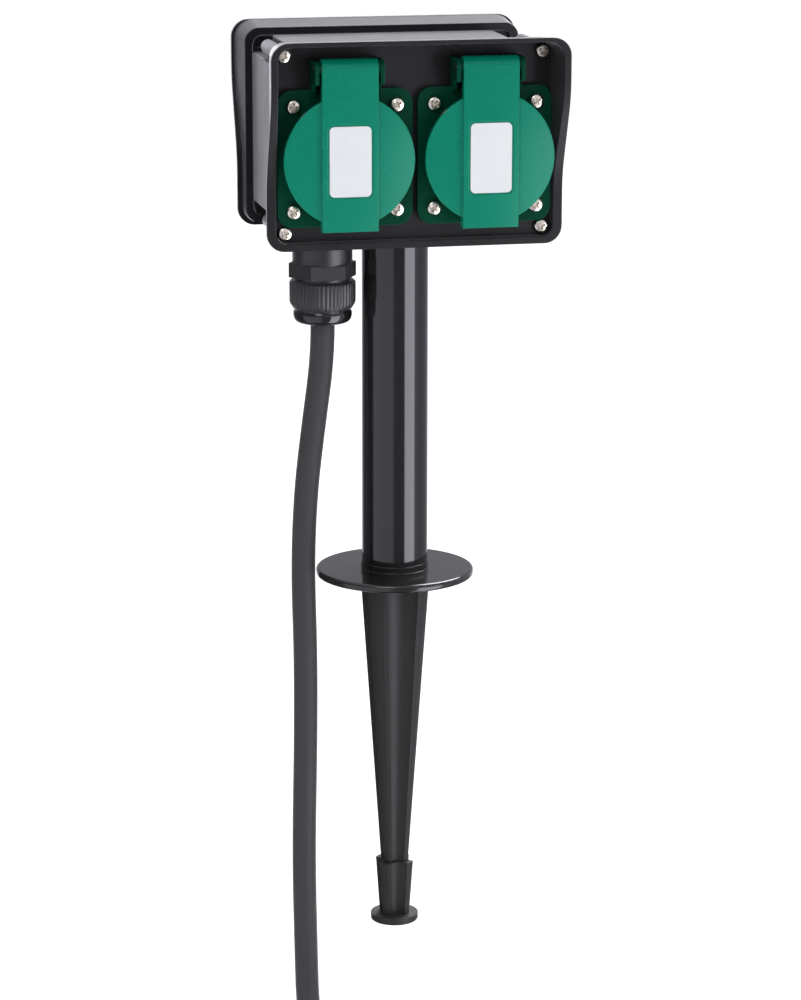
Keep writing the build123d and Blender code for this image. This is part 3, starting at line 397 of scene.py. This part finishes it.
finishes = {
    "blackPlastic": {
        "base": (0.0060, 0.0054, 0.0068), "shade": (0.0042, 0.0038, 0.0048),
        "wearAndHighlightColour": (0.05, 0.05, 0.055),
        "edgeWearAndHighlight": 0.3, "roughness": 0.36, "spread": 0.10, "grain": 1900, "depth": 0.000012,
        "toneSize": 45, "round": 0.0006, "level": 0.28, "sheen": 0.95, "sheenSpread": 0.22},
    "glandBlack": {
        "base": (0.020, 0.019, 0.021), "shade": (0.015, 0.014, 0.016),
        "wearAndHighlightColour": (0.09, 0.09, 0.095),
        "edgeWearAndHighlight": 0.35, "roughness": 0.36, "spread": 0.10, "grain": 1900, "depth": 0.000012,
        "toneSize": 45, "round": 0.0004, "level": 0.5, "sheen": 0.35, "sheenSpread": 0.30},
    "spikeBlack": {
        "base": (0.013, 0.012, 0.012), "shade": (0.009, 0.008, 0.008), "wearAndHighlightColour": (0.07, 0.07, 0.07),
        "edgeWearAndHighlight": 0.3, "roughness": 0.56, "spread": 0.14, "grain": 900, "depth": 0.000008,
        "toneSize": 60, "round": 0.0005, "level": 0.35, "sheen": 0.08, "specks": 0.08},
    "discBlack": {
        "base": (0.013, 0.012, 0.012), "shade": (0.009, 0.008, 0.008), "wearAndHighlightColour": (0.07, 0.07, 0.07),
        "edgeWearAndHighlight": 0.3, "roughness": 0.13, "spread": 0.06, "grain": 900, "depth": 0.000003,
        "toneSize": 60, "round": 0.0005},
    "blackGloss": {
        "base": (0.010, 0.010, 0.011), "shade": (0.007, 0.007, 0.008), "wearAndHighlightColour": (0.05, 0.05, 0.05),
        "edgeWearAndHighlight": 0.2, "roughness": 0.07, "spread": 0.05, "grain": 500, "depth": 0.000002,
        "toneSize": 30, "round": 0.0004},
    "blackRubber": {
        "base": (0.022, 0.022, 0.022), "shade": (0.014, 0.014, 0.014), "wearAndHighlightColour": (0.06, 0.06, 0.06),
        "edgeWearAndHighlight": 0.3, "roughness": 0.7, "spread": 0.1, "grain": 2600, "depth": 0.00003,
        "toneSize": 80, "round": 0.0002},
    "leadSheath": {
        "base": (0.038, 0.037, 0.040), "shade": (0.031, 0.031, 0.034), "wearAndHighlightColour": (0.09, 0.09, 0.09),
        "edgeWearAndHighlight": 0.2, "roughness": 0.6, "spread": 0.14, "grain": 2200, "depth": 0.00003,
        "toneSize": 60, "round": 0.0002, "level": 0.25, "sheen": 0.40, "sheenSpread": 0.32,
        "specks": 0.10},
    # darker than the lids' green: painted shade of the hood over the flange
    "greenFlangePaintedShade": {
        "base": (0.0, 0.042, 0.022), "shade": (0.0, 0.031, 0.016), "wearAndHighlightColour": (0.01, 0.20, 0.14),
        "edgeWearAndHighlight": 0.5, "roughness": 0.40, "spread": 0.12, "grain": 1500, "depth": 0.00002,
        "toneSize": 50, "round": 0.0005, "level": 0.06, "specks": 0.10},
    # the lids' strong edge lightening is wear plus a painted highlight along the strap edges
    "greenLid": {
        "base": (0.0, 0.180, 0.112), "shade": (0.0, 0.158, 0.098), "wearAndHighlightColour": (0.03, 0.36, 0.26),
        "edgeWearAndHighlight": 0.7, "roughness": 0.27, "spread": 0.10, "grain": 1300, "depth": 0.00002,
        "toneSize": 55, "round": 0.0007, "level": 0.18, "specks": 0.25, "bulge": True},
    "whiteLabel": {
        "base": (0.595, 0.617, 0.640), "shade": (0.555, 0.576, 0.598), "wearAndHighlightColour": (0.5, 0.5, 0.5),
        "edgeWearAndHighlight": 0.4, "roughness": 0.42, "spread": 0.1, "grain": 900, "depth": 0.00001,
        "toneSize": 90, "round": 0.00015},
    "nickelSteel": {
        "base": (0.80, 0.74, 0.65), "shade": (0.56, 0.51, 0.44), "wearAndHighlightColour": (0.86, 0.81, 0.74),
        "edgeWearAndHighlight": 0.5, "roughness": 0.24, "spread": 0.25, "grain": 1600, "depth": 0.00003,
        "toneSize": 700, "round": 0.00015, "metallic": 1},
    "platedStrip": {
        "base": (0.70, 0.69, 0.66), "shade": (0.52, 0.51, 0.49), "wearAndHighlightColour": (0.8, 0.79, 0.77),
        "edgeWearAndHighlight": 0.5, "roughness": 0.32, "spread": 0.2, "grain": 1200, "depth": 0.00001,
        "toneSize": 150, "round": 0.00015, "metallic": 1},
    "brass": {
        "base": (0.72, 0.52, 0.22), "shade": (0.50, 0.34, 0.13), "wearAndHighlightColour": (0.85, 0.66, 0.35),
        "edgeWearAndHighlight": 0.5, "roughness": 0.3, "spread": 0.2, "grain": 1200, "depth": 0.00001,
        "toneSize": 150, "round": 0.00015, "metallic": 1},
    "timerGrey": {
        "base": (0.030, 0.031, 0.033), "shade": (0.022, 0.022, 0.024), "wearAndHighlightColour": (0.09, 0.09, 0.09),
        "edgeWearAndHighlight": 0.35, "roughness": 0.4, "spread": 0.1, "grain": 1700, "depth": 0.000015,
        "toneSize": 45, "round": 0.0004},
    "dialGrey": {
        "base": (0.62, 0.63, 0.61), "shade": (0.52, 0.53, 0.52), "wearAndHighlightColour": (0.72, 0.72, 0.71),
        "edgeWearAndHighlight": 0.5, "roughness": 0.42, "spread": 0.12, "grain": 1500, "depth": 0.00001,
        "toneSize": 60, "round": 0.0003},
    "capOrange": {
        "base": (0.72, 0.20, 0.035), "shade": (0.56, 0.14, 0.025), "wearAndHighlightColour": (0.85, 0.36, 0.14),
        "edgeWearAndHighlight": 0.5, "roughness": 0.35, "spread": 0.12, "grain": 1500, "depth": 0.00001,
        "toneSize": 60, "round": 0.0003},
    "tappetDark": {
        "base": (0.055, 0.060, 0.066), "shade": (0.040, 0.043, 0.047), "wearAndHighlightColour": (0.14, 0.14, 0.15),
        "edgeWearAndHighlight": 0.5, "roughness": 0.4, "spread": 0.12, "grain": 1700, "depth": 0.00001,
        "toneSize": 90, "round": 0.0002},
    "blockWhite": {
        "base": (0.78, 0.78, 0.75), "shade": (0.68, 0.68, 0.65), "wearAndHighlightColour": (0.85, 0.85, 0.83),
        "edgeWearAndHighlight": 0.4, "roughness": 0.38, "spread": 0.1, "grain": 900, "depth": 0.00001,
        "toneSize": 70, "round": 0.0003},
    "wireBlue": {
        "base": (0.045, 0.12, 0.42), "shade": (0.035, 0.09, 0.32), "wearAndHighlightColour": (0.10, 0.2, 0.5),
        "edgeWearAndHighlight": 0.3, "roughness": 0.32, "spread": 0.1, "grain": 1200, "depth": 0.00001,
        "toneSize": 90, "round": 0.0002},
    "printBlack": {
        "base": (0.03, 0.03, 0.03), "shade": (0.02, 0.02, 0.02), "wearAndHighlightColour": (0.08, 0.08, 0.08),
        "edgeWearAndHighlight": 0.2, "roughness": 0.5, "spread": 0.1, "grain": 1500, "depth": 0.000005,
        "toneSize": 90, "round": 0.0001},
}


def makeFinish(name, given):
    settings = {**finishDefaults, **given}
    material = bpy.data.materials.new(name)
    material.use_nodes = True
    tree = material.node_tree
    shader = tree.nodes["Principled BSDF"]
    skin = tree.nodes.new("ShaderNodeGroup")
    skin.node_tree = mouldedSkin
    for socket, key in skinColours.items():
        skin.inputs[socket].default_value = (*settings[key], 1)
    for socket, key in skinNumbers.items():
        skin.inputs[socket].default_value = settings[key]
    if settings["bulge"]:
        dome = tree.nodes.new("ShaderNodeGroup")
        dome.node_tree = lidBulge
        tree.links.new(dome.outputs["Height"], skin.inputs["Bulge"])
    for socket, key in (("Metallic", "metallic"), ("IOR", "ior"), ("Specular IOR Level", "level"),
                        ("Sheen Weight", "sheen"), ("Sheen Roughness", "sheenSpread")):
        shader.inputs[socket].default_value = settings[key]
    shader.inputs["Sheen Tint"].default_value = (*settings["sheenTint"], 1)
    linkNodes(tree, [
        (skin.outputs["Colour"], shader.inputs["Base Color"]),
        (skin.outputs["Roughness"], shader.inputs["Roughness"]),
        (skin.outputs["Normal"], shader.inputs["Normal"]),
    ])
    return material


# a faint dust haze over clear plastic
coverSettings = {
    "tint": (0.93, 0.95, 0.96),
    "dusty": (0.80, 0.83, 0.85),
    "roughness": (0.06, 0.18),
    "dustReach": (0.35, 0.8),
    "dustSize": 120,
    "dustDetail": 5,
    "ior": 1.49,
}


def makeCoverGlass(settings):
    material = bpy.data.materials.new("clearCover")
    material.use_nodes = True
    tree = material.node_tree
    shader = tree.nodes["Principled BSDF"]
    where = tree.nodes.new("ShaderNodeTexCoord")
    dust = tree.nodes.new("ShaderNodeTexNoise")
    dust.inputs["Scale"].default_value = settings["dustSize"]
    dust.inputs["Detail"].default_value = settings["dustDetail"]
    tint = tree.nodes.new("ShaderNodeMix")
    tint.data_type = "RGBA"
    tint.inputs["A"].default_value = (*settings["tint"], 1)
    tint.inputs["B"].default_value = (*settings["dusty"], 1)
    haze = tree.nodes.new("ShaderNodeMapRange")
    for way, key in (("From", "dustReach"), ("To", "roughness")):
        haze.inputs[way + " Min"].default_value = settings[key][0]
        haze.inputs[way + " Max"].default_value = settings[key][1]
    shader.inputs["Transmission Weight"].default_value = 1
    shader.inputs["IOR"].default_value = settings["ior"]
    linkNodes(tree, [
        (where.outputs["Object"], dust.inputs["Vector"]),
        (dust.outputs["Fac"], tint.inputs["Factor"]),
        (dust.outputs["Fac"], haze.inputs["Value"]),
        (tint.outputs["Result"], shader.inputs["Base Color"]),
        (haze.outputs["Result"], shader.inputs["Roughness"]),
    ])
    return material


materials = {name: makeFinish(name, settings) for name, settings in finishes.items()}
materials["clearCover"] = makeCoverGlass(coverSettings)

nodeFinishes = {
    "blackPlastic": ["front_shell", "rear_shell"],
    "glandBlack": ["gland_bushing", "gland_body", "gland_locknut"],
    "spikeBlack": ["ground_spike", "tip_cap"],
    "blackGloss": ["stem_tube", "gland_nut"],
    "blackRubber": ["shell_gasket", "socket_gasket_left", "socket_gasket_right", "timer_gasket",
                    "lid_seal_left", "lid_seal_right", "gland_seal"],
    "leadSheath": ["cord_inner_end", "plug_body", "power_cord", "power_cord_coil"],
    "greenFlangePaintedShade": ["socket_body_left", "socket_body_right", "socket_insert_left",
                    "socket_insert_right"],
    "greenLid": ["lid_left", "lid_right"],
    "whiteLabel": ["lid_label_left", "lid_label_right"],
    "nickelSteel": ["hinge_pin_left", "hinge_pin_right", "timer_cover_pin", "lid_spring_left",
                    "lid_spring_right", "terminal_screws", "shell_screws", "socket_screws_left",
                    "socket_screws_right", "timer_screws"],
    "platedStrip": ["earth_clip_left", "earth_clip_right", "plug_pins", "plug_earth_contacts"],
    "brass": ["contacts_left", "contacts_right"],
    "timerGrey": ["timer_body"],
    "dialGrey": ["timer_dial"],
    "capOrange": ["dial_cap", "override_switch"],
    "tappetDark": ["tappets_on", "tappets_off"],
    "clearCover": ["timer_cover"],
    "blockWhite": ["terminal_block"],
    "wireBlue": ["supply_wires"],
}

for finish, members in nodeFinishes.items():
    for member in members:
        data = nodes[member].data
        data.materials.clear()
        data.materials.append(materials[finish])
        data.shade_smooth()
        data.set_sharp_from_angle(angle=math.radians(meshSettings["cadSharp"]))
supplyLead.data.materials.append(materials["leadSheath"])


def polishDisc(low):
    # the disc and its collar are glossier than the spike under them
    data = nodes["ground_spike"].data
    data.materials.append(materials["discBlack"])
    for face in data.polygons:
        if min(data.vertices[corner].co.z for corner in face.vertices) > low:
            face.material_index = 1


polishDisc(low=-0.0002)
print("finishes made:", len(materials))


# Pan-head screws with a cross recess

screwSettings = {
    # radius and height of the rings of the head
    "headRings": [(0.00210, 0.00196), (0.00245, 0.00172), (0.00268, 0.00120), (0.00275, 0.00055),
                  (0.00275, 0.0)],
    "headTop": 0.0020,
    "segments": 24,
    "firstTurn": 7.5,       # degrees, lines the rings up with the recess
    "turnStep": 29,         # degrees more for each screw of a group
    "crossReach": 0.00152,
    "crossWidth": 0.00042,
    "crossDepth": 0.0012,
    "crossTaper": 0.55,
    # places are x from the middle and z, lift is the seat's height over the panel
    "groups": {
        "shell_screws": {
            "side": "front", "radius": 0.00145, "length": 0.0311, "lift": 0, "turn": 17,
            "places": [(x, z) for x in (-0.0478, 0.0478) for z in (0.1372, 0.2016)]},
        "socket_screws_left": {
            "side": "front", "radius": 0.0014, "length": 0.0075, "lift": 0.003, "turn": 31,
            "places": [(x, z) for x in (-0.0449, -0.0069) for z in (0.1456, 0.1836)]},
        "socket_screws_right": {
            "side": "front", "radius": 0.0014, "length": 0.0075, "lift": 0.003, "turn": 53,
            "places": [(x, z) for x in (0.0069, 0.0449) for z in (0.1456, 0.1836)]},
        "timer_screws": {
            "side": "rear", "radius": 0.0014, "length": 0.0077, "lift": 0.0032, "turn": 71,
            "places": [(x, z) for x in (-0.031, 0.031) for z in (0.1454, 0.1974)]},
    },
    "middle": 0.0008,
    "panel": 0.0285,
}


def screwShape(settings, radius, length):
    bm = bmesh.new()
    reach, half, top = settings["crossReach"], settings["crossWidth"], settings["headTop"]
    # three corners of each arm of the cross
    arm = [(half, reach), (-half, reach), (-half, half)]
    outline = []
    for quarter in range(4):
        turn = Matrix.Rotation(math.pi / 2 * quarter, 2)
        for x, y in arm:
            spot = turn @ Vector((x, y))
            outline.append(bm.verts.new((spot.x, spot.y, top)))
    outlineEdges = [bm.edges.new(ends) for ends in zip(outline, outline[1:] + outline[:1])]
    bmesh.ops.subdivide_edges(bm, edges=outlineEdges, cuts=1)
    crossEdges = list(bm.edges)
    # the recess goes down from the outline and narrows
    grown = bmesh.ops.extrude_edge_only(bm, edges=crossEdges)["geom"]
    lowVerts = [item for item in grown if isinstance(item, bmesh.types.BMVert)]
    lowEdges = [item for item in grown if isinstance(item, bmesh.types.BMEdge) and
                all(vert in lowVerts for vert in item.verts)]
    taper = settings["crossTaper"]
    bmesh.ops.scale(bm, vec=(taper, taper, 1), verts=lowVerts)
    bmesh.ops.translate(bm, vec=(0, 0, -settings["crossDepth"]), verts=lowVerts)
    bmesh.ops.contextual_create(bm, geom=lowEdges)
    # the dome is a row of circles, joined outward from the recess
    firstTurn = Matrix.Rotation(math.radians(settings["firstTurn"]), 4, "Z")
    ring = None
    for size, height in settings["headRings"] + [(radius, 0.0), (radius, -length)]:
        place = Matrix.Translation((0, 0, height)) @ firstTurn
        made = bmesh.ops.create_circle(bm, segments=settings["segments"], radius=size,
                                       matrix=place)["verts"]
        if ring is None:
            ringEdges = list(dict.fromkeys(edge for vert in made for edge in vert.link_edges))
            bmesh.ops.bridge_loops(bm, edges=crossEdges + ringEdges)
        else:
            joinRings(bm, ring, made)
        ring = made
    bm.faces.new(ring)
    return bm


def sideMatrix(side, x, z, lift, settings):
    # a screw is made pointing up and turned to face out of its side
    way = -1 if side == "front" else 1
    place = (settings["middle"] + x, way * (settings["panel"] + lift), z)
    return Matrix.Translation(place) @ Matrix.Rotation(-way * math.pi / 2, 4, "X")


def makeScrews(settings):
    for node, group in settings["groups"].items():
        whole = bmesh.new()
        for number, (x, z) in enumerate(group["places"]):
            one = screwShape(settings, group["radius"], group["length"])
            spin = group["turn"] * (number + 1) + settings["turnStep"] * number
            one.transform(sideMatrix(group["side"], x, z, group["lift"], settings) @
                          Matrix.Rotation(math.radians(spin), 4, "Z"))
            moveInto(whole, one)
        finishPiece(node + "Cross", whole, "spike_box", "nickelSteel",
                    stands=[node])


makeScrews(screwSettings)
print("screws made")


# Gland nut: fine ribs on the grip, a smooth dome under it

nutSettings = {
    "place": (-0.0276, 0.0, 0.0),
    "ribs": 48,
    "ribSteps": (0, 0, 0.8, 1, 1, 0.8),
    "ribHeight": 0.00032,
    "sharp": 40,
    # radius, height, share of the rib
    "grip": [(0.01036, 0.1149, 0), (0.01165, 0.1149, 0), (0.01205, 0.1145, 0.4),
             (0.01210, 0.1140, 1), (0.01208, 0.1069, 1), (0.01195, 0.1062, 0.7),
             (0.01125, 0.1047, 0), (0.01085, 0.1041, 0)],
    "dome": [(0.01070, 0.1038, 0), (0.01075, 0.1036, 0), (0.01100, 0.1031, 0),
             (0.01108, 0.1024, 0), (0.01103, 0.1015, 0), (0.01080, 0.1005, 0),
             (0.01035, 0.0997, 0), (0.00960, 0.09915, 0), (0.00870, 0.09885, 0),
             (0.00640, 0.09880, 0), (0.00565, 0.09900, 0), (0.00490, 0.09950, 0)],
    "bore": [(0.00482, 0.1006, 0), (0.00482, 0.1039, 0), (0.01036, 0.1039, 0)],
}


def makeNut(settings):
    bm = bmesh.new()
    steps = settings["ribSteps"]
    count = settings["ribs"] * len(steps)
    rings = []
    for radius, height, share in settings["grip"] + settings["dome"] + settings["bore"]:
        ring = []
        for k in range(count):
            angle = 2 * math.pi * k / count
            reach = radius + share * settings["ribHeight"] * steps[k % len(steps)]
            ring.append(bm.verts.new((reach * math.cos(angle), reach * math.sin(angle), height)))
        rings.append(ring)
    # the grip is dull, the dome and the bore are glossy
    for number, (upper, lower) in enumerate(zip(rings, rings[1:] + rings[:1])):
        for face in joinRings(bm, upper, lower):
            face.material_index = int(number >= len(settings["grip"]) - 1)
    bmesh.ops.translate(bm, vec=settings["place"], verts=bm.verts)
    nut = finishPiece("glandNutRibbed", bm, "spike_box", "glandBlack",
                      stands=["gland_nut"], sharp=settings["sharp"])
    nut.data.materials.append(materials["blackGloss"])


makeNut(nutSettings)
print("gland nut made")


# Print on the timer's dial: hours and their ticks

dialSettings = {
    "middle": (0.0008, 0.0340, 0.1714),
    "hours": 24,
    "height": 0.0023,
    "ring": 0.0121,
    "print": 0.00012,
    "sunk": 0.00004,
    "tick": (0.0144, 0.0154, 0.00022),      # inner end, outer end, half width
}


def dialMatrix(settings):
    # the print faces the rear, where -x is to the right
    axes = Matrix(((-1, 0, 0), (0, 0, 1), (0, 1, 0))).to_4x4()
    axes.translation = settings["middle"]
    return axes


def raised(bm, outline, low, high):
    face = bm.faces.new([bm.verts.new((x, y, low)) for x, y in outline])
    grown = bmesh.ops.extrude_face_region(bm, geom=[face])["geom"]
    top = [item for item in grown if isinstance(item, bmesh.types.BMVert)]
    bmesh.ops.translate(bm, vec=(0, 0, high - low), verts=top)


def makeDialPrint(settings):
    whole = bmesh.new()
    place = dialMatrix(settings)
    for hour in range(1, settings["hours"] + 1):
        turn = Matrix.Rotation(-2 * math.pi * hour / settings["hours"], 4, "Z")
        text = bpy.data.curves.new("hour", "FONT")
        text.body = str(hour)
        text.size = settings["height"]
        text.align_x = text.align_y = "CENTER"
        text.extrude = settings["print"]
        holder = bpy.data.objects.new("hour", text)
        scene.collection.objects.link(holder)
        shape = holder.to_mesh()
        one = bmesh.new()
        one.from_mesh(shape)
        holder.to_mesh_clear()
        bpy.data.objects.remove(holder)
        bpy.data.curves.remove(text)
        one.transform(place @ turn @ Matrix.Translation((0, settings["ring"], 0)))
        near, far, half = settings["tick"]
        tick = bmesh.new()
        raised(tick, [(-half, near), (half, near), (half, far), (-half, far)],
               -settings["sunk"], settings["print"])
        tick.transform(place @ turn)
        moveInto(whole, one)
        moveInto(whole, tick)
    finishPiece("dialHours", whole, "dial", "printBlack")


makeDialPrint(dialSettings)
print("dial print made")


# Floor, light and world

floorSettings = {
    "size": 40.0,
    "height": -0.228,
    "colour": (0.86, 0.86, 0.86),
    "glow": 1.12,
    "glowShare": 0.85,
}


def makeFloor(settings):
    bm = bmesh.new()
    bmesh.ops.create_grid(bm, x_segments=1, y_segments=1, size=settings["size"] / 2)
    bmesh.ops.translate(bm, vec=(0, 0, settings["height"]), verts=bm.verts)
    mesh = bpy.data.meshes.new("paleFloor")
    bm.to_mesh(mesh)
    bm.free()
    floor = bpy.data.objects.new("paleFloor", mesh)
    scene.collection.objects.link(floor)
    material = bpy.data.materials.new("paleFloor")
    material.use_nodes = True
    tree = material.node_tree
    tree.nodes.clear()
    out = tree.nodes.new("ShaderNodeOutputMaterial")
    lit = tree.nodes.new("ShaderNodeBsdfDiffuse")
    lit.inputs["Color"].default_value = (*settings["colour"], 1)
    glow = tree.nodes.new("ShaderNodeEmission")
    glow.inputs["Strength"].default_value = settings["glow"]
    unseen = tree.nodes.new("ShaderNodeBsdfTransparent")
    path = tree.nodes.new("ShaderNodeLightPath")
    seen = tree.nodes.new("ShaderNodeMixShader")
    seen.inputs["Fac"].default_value = settings["glowShare"]
    # the camera sees a pale glow with soft shadows, and mirrored rays pass through
    forCamera = tree.nodes.new("ShaderNodeMixShader")
    forGloss = tree.nodes.new("ShaderNodeMixShader")
    linkNodes(tree, [
        (lit.outputs[0], seen.inputs[1]), (glow.outputs[0], seen.inputs[2]),
        (path.outputs["Is Camera Ray"], forCamera.inputs["Fac"]),
        (lit.outputs[0], forCamera.inputs[1]), (seen.outputs[0], forCamera.inputs[2]),
        (path.outputs["Is Glossy Ray"], forGloss.inputs["Fac"]),
        (forCamera.outputs[0], forGloss.inputs[1]), (unseen.outputs[0], forGloss.inputs[2]),
        (forGloss.outputs[0], out.inputs["Surface"]),
    ])
    mesh.materials.append(material)


lightSettings = {
    "aim": (0, 0, 0.08),
    # mirrored says whether glossy pieces reflect the light
    "lights": {
        "keyLight": {"place": (-0.9, -1.7, 1.5), "size": 1.3, "power": 17, "mirrored": True},
        "fillLight": {"place": (1.5, -1.3, 0.7), "size": 1.4, "power": 12, "mirrored": False},
        "topLight": {"place": (0.8, 0.9, 1.9), "size": 1.8, "power": 134, "mirrored": True},
        "backLight": {"place": (0.5, 1.7, 1.2), "size": 1.4, "power": 40, "mirrored": False},
    },
}


def makeLights(settings):
    for name, one in settings["lights"].items():
        data = bpy.data.lights.new(name, "AREA")
        data.shape = "DISK"
        data.size = one["size"]
        data.energy = one["power"]
        light = bpy.data.objects.new(name, data)
        scene.collection.objects.link(light)
        light.location = one["place"]
        way = Vector(settings["aim"]) - Vector(one["place"])
        light.rotation_euler = way.to_track_quat("-Z", "Y").to_euler()
        light.visible_glossy = one["mirrored"]


worldSettings = {
    "seen": (1.0, 1.0, 1.0),
    "tint": (0.80, 0.815, 0.89),
    "fill": 0.45,
    "facing": -1.7817,      # heading from the object to the camera, radians
    # brightness mirrored from each heading, in degrees to the right of the camera
    "low": [(-180, 1.3), (-152, 1.1), (-140, 0.16), (-84, 0.14), (-76, 1.6), (-8, 1.45), (0, 0.42),
            (33, 0.40), (37, 8.0), (70, 8.0), (75, 1.4), (100, 0.7), (140, 0.5), (160, 1.3),
            (180, 1.3)],
    "high": [(-180, 0.5), (-140, 0.3), (-60, 0.3), (-20, 0.5), (37, 1.2), (70, 1.2), (120, 0.9),
             (180, 0.5)],
    "brightest": 8.0,
    # heights on the unit sphere between which each part fades in
    "horizon": (-0.06, 0.08),
    "bandLow": (-0.95, -0.80),
    "bandHigh": (0.75, 0.30),
    "topEdge": (0.45, 0.8),
    "topLevel": 1.6,
    "least": 0.02,
}


def makeWorld(settings):
    world = bpy.data.worlds.new("softStudio")
    scene.world = world
    world.use_nodes = True
    tree = world.node_tree
    tree.nodes.clear()
    make = tree.nodes.new

    def calculate(operation, *values):
        step = make("ShaderNodeMath")
        step.operation = operation
        for socket, value in zip(step.inputs, values):
            if isinstance(value, (int, float)):
                socket.default_value = value
            else:
                tree.links.new(value, socket)
        return step.outputs["Value"]

    def soften(source, low, high, level=1):
        step = make("ShaderNodeMapRange")
        step.interpolation_type = "SMOOTHSTEP"
        step.inputs["From Min"].default_value = low
        step.inputs["From Max"].default_value = high
        step.inputs["To Max"].default_value = level
        tree.links.new(source, step.inputs["Value"])
        return step.outputs["Result"]

    out = make("ShaderNodeOutputWorld")
    where = make("ShaderNodeTexCoord")
    parts = make("ShaderNodeSeparateXYZ")
    tree.links.new(where.outputs["Generated"], parts.inputs[0])
    heading = calculate("ARCTAN2", parts.outputs["Y"], parts.outputs["X"])
    turned = calculate("SUBTRACT", heading, settings["facing"])
    wrapped = calculate("WRAP", turned, math.pi, -math.pi)
    # share of a full turn, 0.5 straight at the camera
    spot = calculate("ADD", calculate("DIVIDE", wrapped, 2 * math.pi), 0.5)

    def panels(levels):
        ramp = make("ShaderNodeValToRGB")
        tree.links.new(spot, ramp.inputs["Fac"])
        stops = ramp.color_ramp.elements
        while len(stops) < len(levels):
            stops.new(0.5)
        for stop, (angle, level) in zip(stops, levels):
            stop.position = angle / 360 + 0.5
        for stop, (angle, level) in zip(stops, levels):
            share = level / settings["brightest"]
            stop.color = (share, share, share, 1)
        return calculate("MULTIPLY", ramp.outputs["Color"], settings["brightest"])

    raisedShare = soften(parts.outputs["Z"], *settings["horizon"])
    loweredShare = calculate("SUBTRACT", 1, raisedShare)
    around = calculate("ADD", calculate("MULTIPLY", panels(settings["low"]), loweredShare),
                       calculate("MULTIPLY", panels(settings["high"]), raisedShare))
    band = calculate("MULTIPLY", soften(parts.outputs["Z"], *settings["bandLow"]),
                     soften(parts.outputs["Z"], *settings["bandHigh"]))
    sides = calculate("MULTIPLY", around, band)
    top = soften(parts.outputs["Z"], *settings["topEdge"], settings["topLevel"])
    light = calculate("ADD", calculate("MAXIMUM", sides, top), settings["least"])

    # the camera sees white, mirrored rays see the panels, and the rest is an even fill
    mirrored = make("ShaderNodeBackground")
    mirrored.inputs["Color"].default_value = (*settings["tint"], 1)
    fill = make("ShaderNodeBackground")
    fill.inputs["Strength"].default_value = settings["fill"]
    seen = make("ShaderNodeBackground")
    seen.inputs["Color"].default_value = (*settings["seen"], 1)
    path = make("ShaderNodeLightPath")
    forGloss = make("ShaderNodeMixShader")
    forCamera = make("ShaderNodeMixShader")
    linkNodes(tree, [
        (light, mirrored.inputs["Strength"]),
        (path.outputs["Is Glossy Ray"], forGloss.inputs["Fac"]),
        (fill.outputs[0], forGloss.inputs[1]), (mirrored.outputs[0], forGloss.inputs[2]),
        (path.outputs["Is Camera Ray"], forCamera.inputs["Fac"]),
        (forGloss.outputs[0], forCamera.inputs[1]), (seen.outputs[0], forCamera.inputs[2]),
        (forCamera.outputs[0], out.inputs["Surface"]),
    ])


makeFloor(floorSettings)
makeLights(lightSettings)
makeWorld(worldSettings)
scene.view_settings.view_transform = "Standard"
print("floor, lights and world made")
